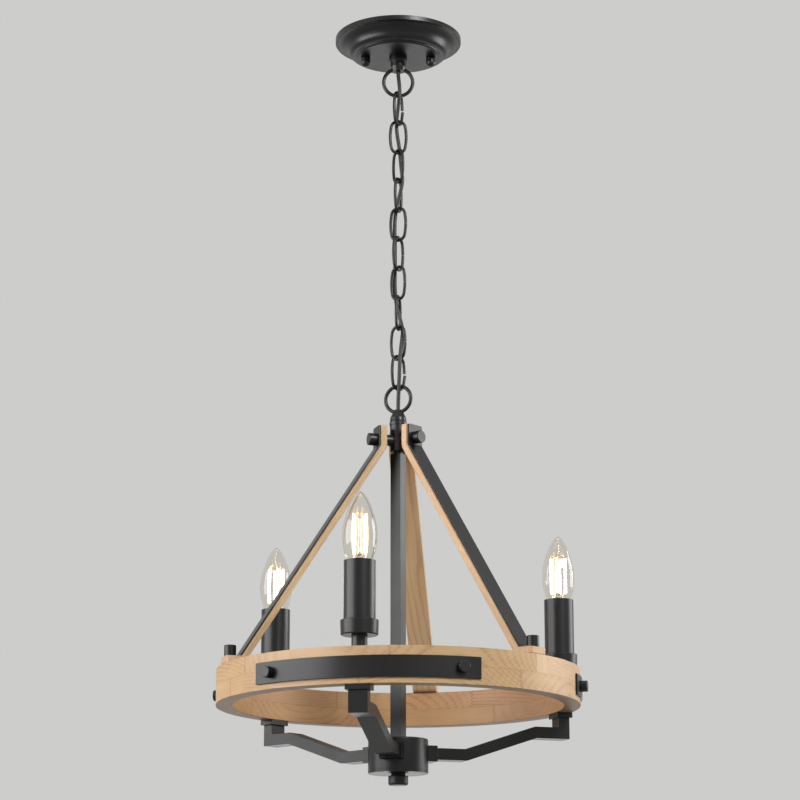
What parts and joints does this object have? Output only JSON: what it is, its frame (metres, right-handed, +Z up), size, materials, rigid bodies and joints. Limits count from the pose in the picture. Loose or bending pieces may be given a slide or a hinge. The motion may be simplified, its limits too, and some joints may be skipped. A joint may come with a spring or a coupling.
{
  "type": "wagon wheel chandelier",
  "caption": "Wooden wheel hung level from a ceiling canopy by a chain and sloping spokes, with candle lamps standing on its rim on arms from a hub below.",
  "frame": {"origin": "centre of the mounting screws' pattern, on the ceiling plane", "axes": "+Z up, -Y towards the viewer of the picture, +X to that viewer's right"},
  "size_m": [0.3925, 0.3872, 0.8281],
  "materials": {
    "black_powder_coat": "satin",
    "zinc_steel": "satin",
    "natural_wood": "matte",
    "black_cord": "matte",
    "white_plastic": "matte",
    "lead_insulation": "matte",
    "bulb_glass": "gloss"
  },
  "bodies": {
    "ceiling_mount": {"mount_strap": "zinc_steel", "stud_strap": "zinc_steel", "strap_nut": "zinc_steel", "nipple": "zinc_steel", "canopy_screws": "zinc_steel", "canopy": "black_powder_coat", "cap_nuts": "black_powder_coat", "top_loop": "black_powder_coat", "terminal_block": "white_plastic", "canopy_leads": "lead_insulation", "cord": "black_cord"},
    "chain_link_1": {"link_1": "black_powder_coat"},
    "chain_link_2": {"link_2": "black_powder_coat"},
    "chain_link_3": {"link_3": "black_powder_coat"},
    "chain_link_4": {"link_4": "black_powder_coat"},
    "chain_link_5": {"link_5": "black_powder_coat"},
    "chain_link_6": {"link_6": "black_powder_coat"},
    "chain_link_7": {"link_7": "black_powder_coat"},
    "chain_link_8": {"link_8": "black_powder_coat"},
    "chain_link_9": {"link_9": "black_powder_coat"},
    "chain_link_10": {"link_10": "black_powder_coat"},
    "wheel": {"bottom_loop": "black_powder_coat", "top_hub": "black_powder_coat", "column": "black_powder_coat", "spoke_wood_1": "natural_wood", "spoke_wood_2": "natural_wood", "spoke_wood_3": "natural_wood", "spoke_strap_1": "black_powder_coat", "spoke_strap_2": "black_powder_coat", "spoke_strap_3": "black_powder_coat", "hub_bolts": "black_powder_coat", "foot_bolts": "black_powder_coat", "wheel_rim": "natural_wood", "rim_band_1": "black_powder_coat", "rim_band_2": "black_powder_coat", "rim_band_3": "black_powder_coat", "band_bolts": "black_powder_coat", "arm_1": "black_powder_coat", "arm_2": "black_powder_coat", "arm_3": "black_powder_coat", "arm_plates": "black_powder_coat", "arm_leads": "white_plastic", "drum": "black_powder_coat", "drum_cover": "black_powder_coat", "drum_connectors": "white_plastic", "finial": "black_powder_coat", "candle_pipes": "zinc_steel", "candle_cup_1": "black_powder_coat", "candle_cup_2": "black_powder_coat", "candle_cup_3": "black_powder_coat", "candle_sleeve_1": "black_powder_coat", "candle_sleeve_2": "black_powder_coat", "candle_sleeve_3": "black_powder_coat", "lamp_sockets": "white_plastic"},
    "bulb_1": {"bulb_glass_1": "bulb_glass", "bulb_base_1": "zinc_steel"},
    "bulb_2": {"bulb_glass_2": "bulb_glass", "bulb_base_2": "zinc_steel"},
    "bulb_3": {"bulb_glass_3": "bulb_glass", "bulb_base_3": "zinc_steel"}
  },
  "joints": [
    {"name": "swing_1", "type": "hinge", "parent": "ceiling_mount", "child": "chain_link_1", "pos_m": [0, 0, -0.06715], "axis": [1, 0, 0], "range_deg": [-10, 10], "deforming": ["cord"]},
    {"name": "swing_2", "type": "hinge", "parent": "chain_link_1", "child": "chain_link_2", "pos_m": [0, 0, -0.1006], "axis": [0.5, 0.866, 0], "range_deg": [-10, 10]},
    {"name": "swing_3", "type": "hinge", "parent": "chain_link_2", "child": "chain_link_3", "pos_m": [0, 0, -0.1344], "axis": [0.9986, 0.0523, 0], "range_deg": [-10, 10]},
    {"name": "swing_4", "type": "hinge", "parent": "chain_link_3", "child": "chain_link_4", "pos_m": [0, 0, -0.1682], "axis": [0.5878, -0.809, 0], "range_deg": [-10, 10]},
    {"name": "swing_5", "type": "hinge", "parent": "chain_link_4", "child": "chain_link_5", "pos_m": [0, 0, -0.202], "axis": [0.3746, 0.9272, 0], "range_deg": [-10, 10]},
    {"name": "swing_6", "type": "hinge", "parent": "chain_link_5", "child": "chain_link_6", "pos_m": [0, 0, -0.2358], "axis": [0.9272, -0.3746, 0], "range_deg": [-10, 10]},
    {"name": "swing_7", "type": "hinge", "parent": "chain_link_6", "child": "chain_link_7", "pos_m": [0, 0, -0.2696], "axis": [0.5736, 0.8192, 0], "range_deg": [-10, 10]},
    {"name": "swing_8", "type": "hinge", "parent": "chain_link_7", "child": "chain_link_8", "pos_m": [0, 0, -0.3034], "axis": [0.8192, -0.5736, 0], "range_deg": [-10, 10]},
    {"name": "swing_9", "type": "hinge", "parent": "chain_link_8", "child": "chain_link_9", "pos_m": [0, 0, -0.3372], "axis": [0.2588, 0.9659, 0], "range_deg": [-10, 10]},
    {"name": "swing_10", "type": "hinge", "parent": "chain_link_9", "child": "chain_link_10", "pos_m": [0, 0, -0.371], "axis": [0.8387, -0.5446, 0], "range_deg": [-10, 10]},
    {"name": "swing_11", "type": "hinge", "parent": "chain_link_10", "child": "wheel", "pos_m": [0, 0, -0.4048], "axis": [0.7431, 0.6691, 0], "range_deg": [-10, 10]},
    {"name": "bulb_1_lift", "type": "slide", "parent": "wheel", "child": "bulb_1", "axis": [0, 0, 1], "range_m": [0, 0.06]},
    {"name": "bulb_2_lift", "type": "slide", "parent": "wheel", "child": "bulb_2", "axis": [0, 0, 1], "range_m": [0, 0.06]},
    {"name": "bulb_3_lift", "type": "slide", "parent": "wheel", "child": "bulb_3", "axis": [0, 0, 1], "range_m": [0, 0.06]}
  ]
}
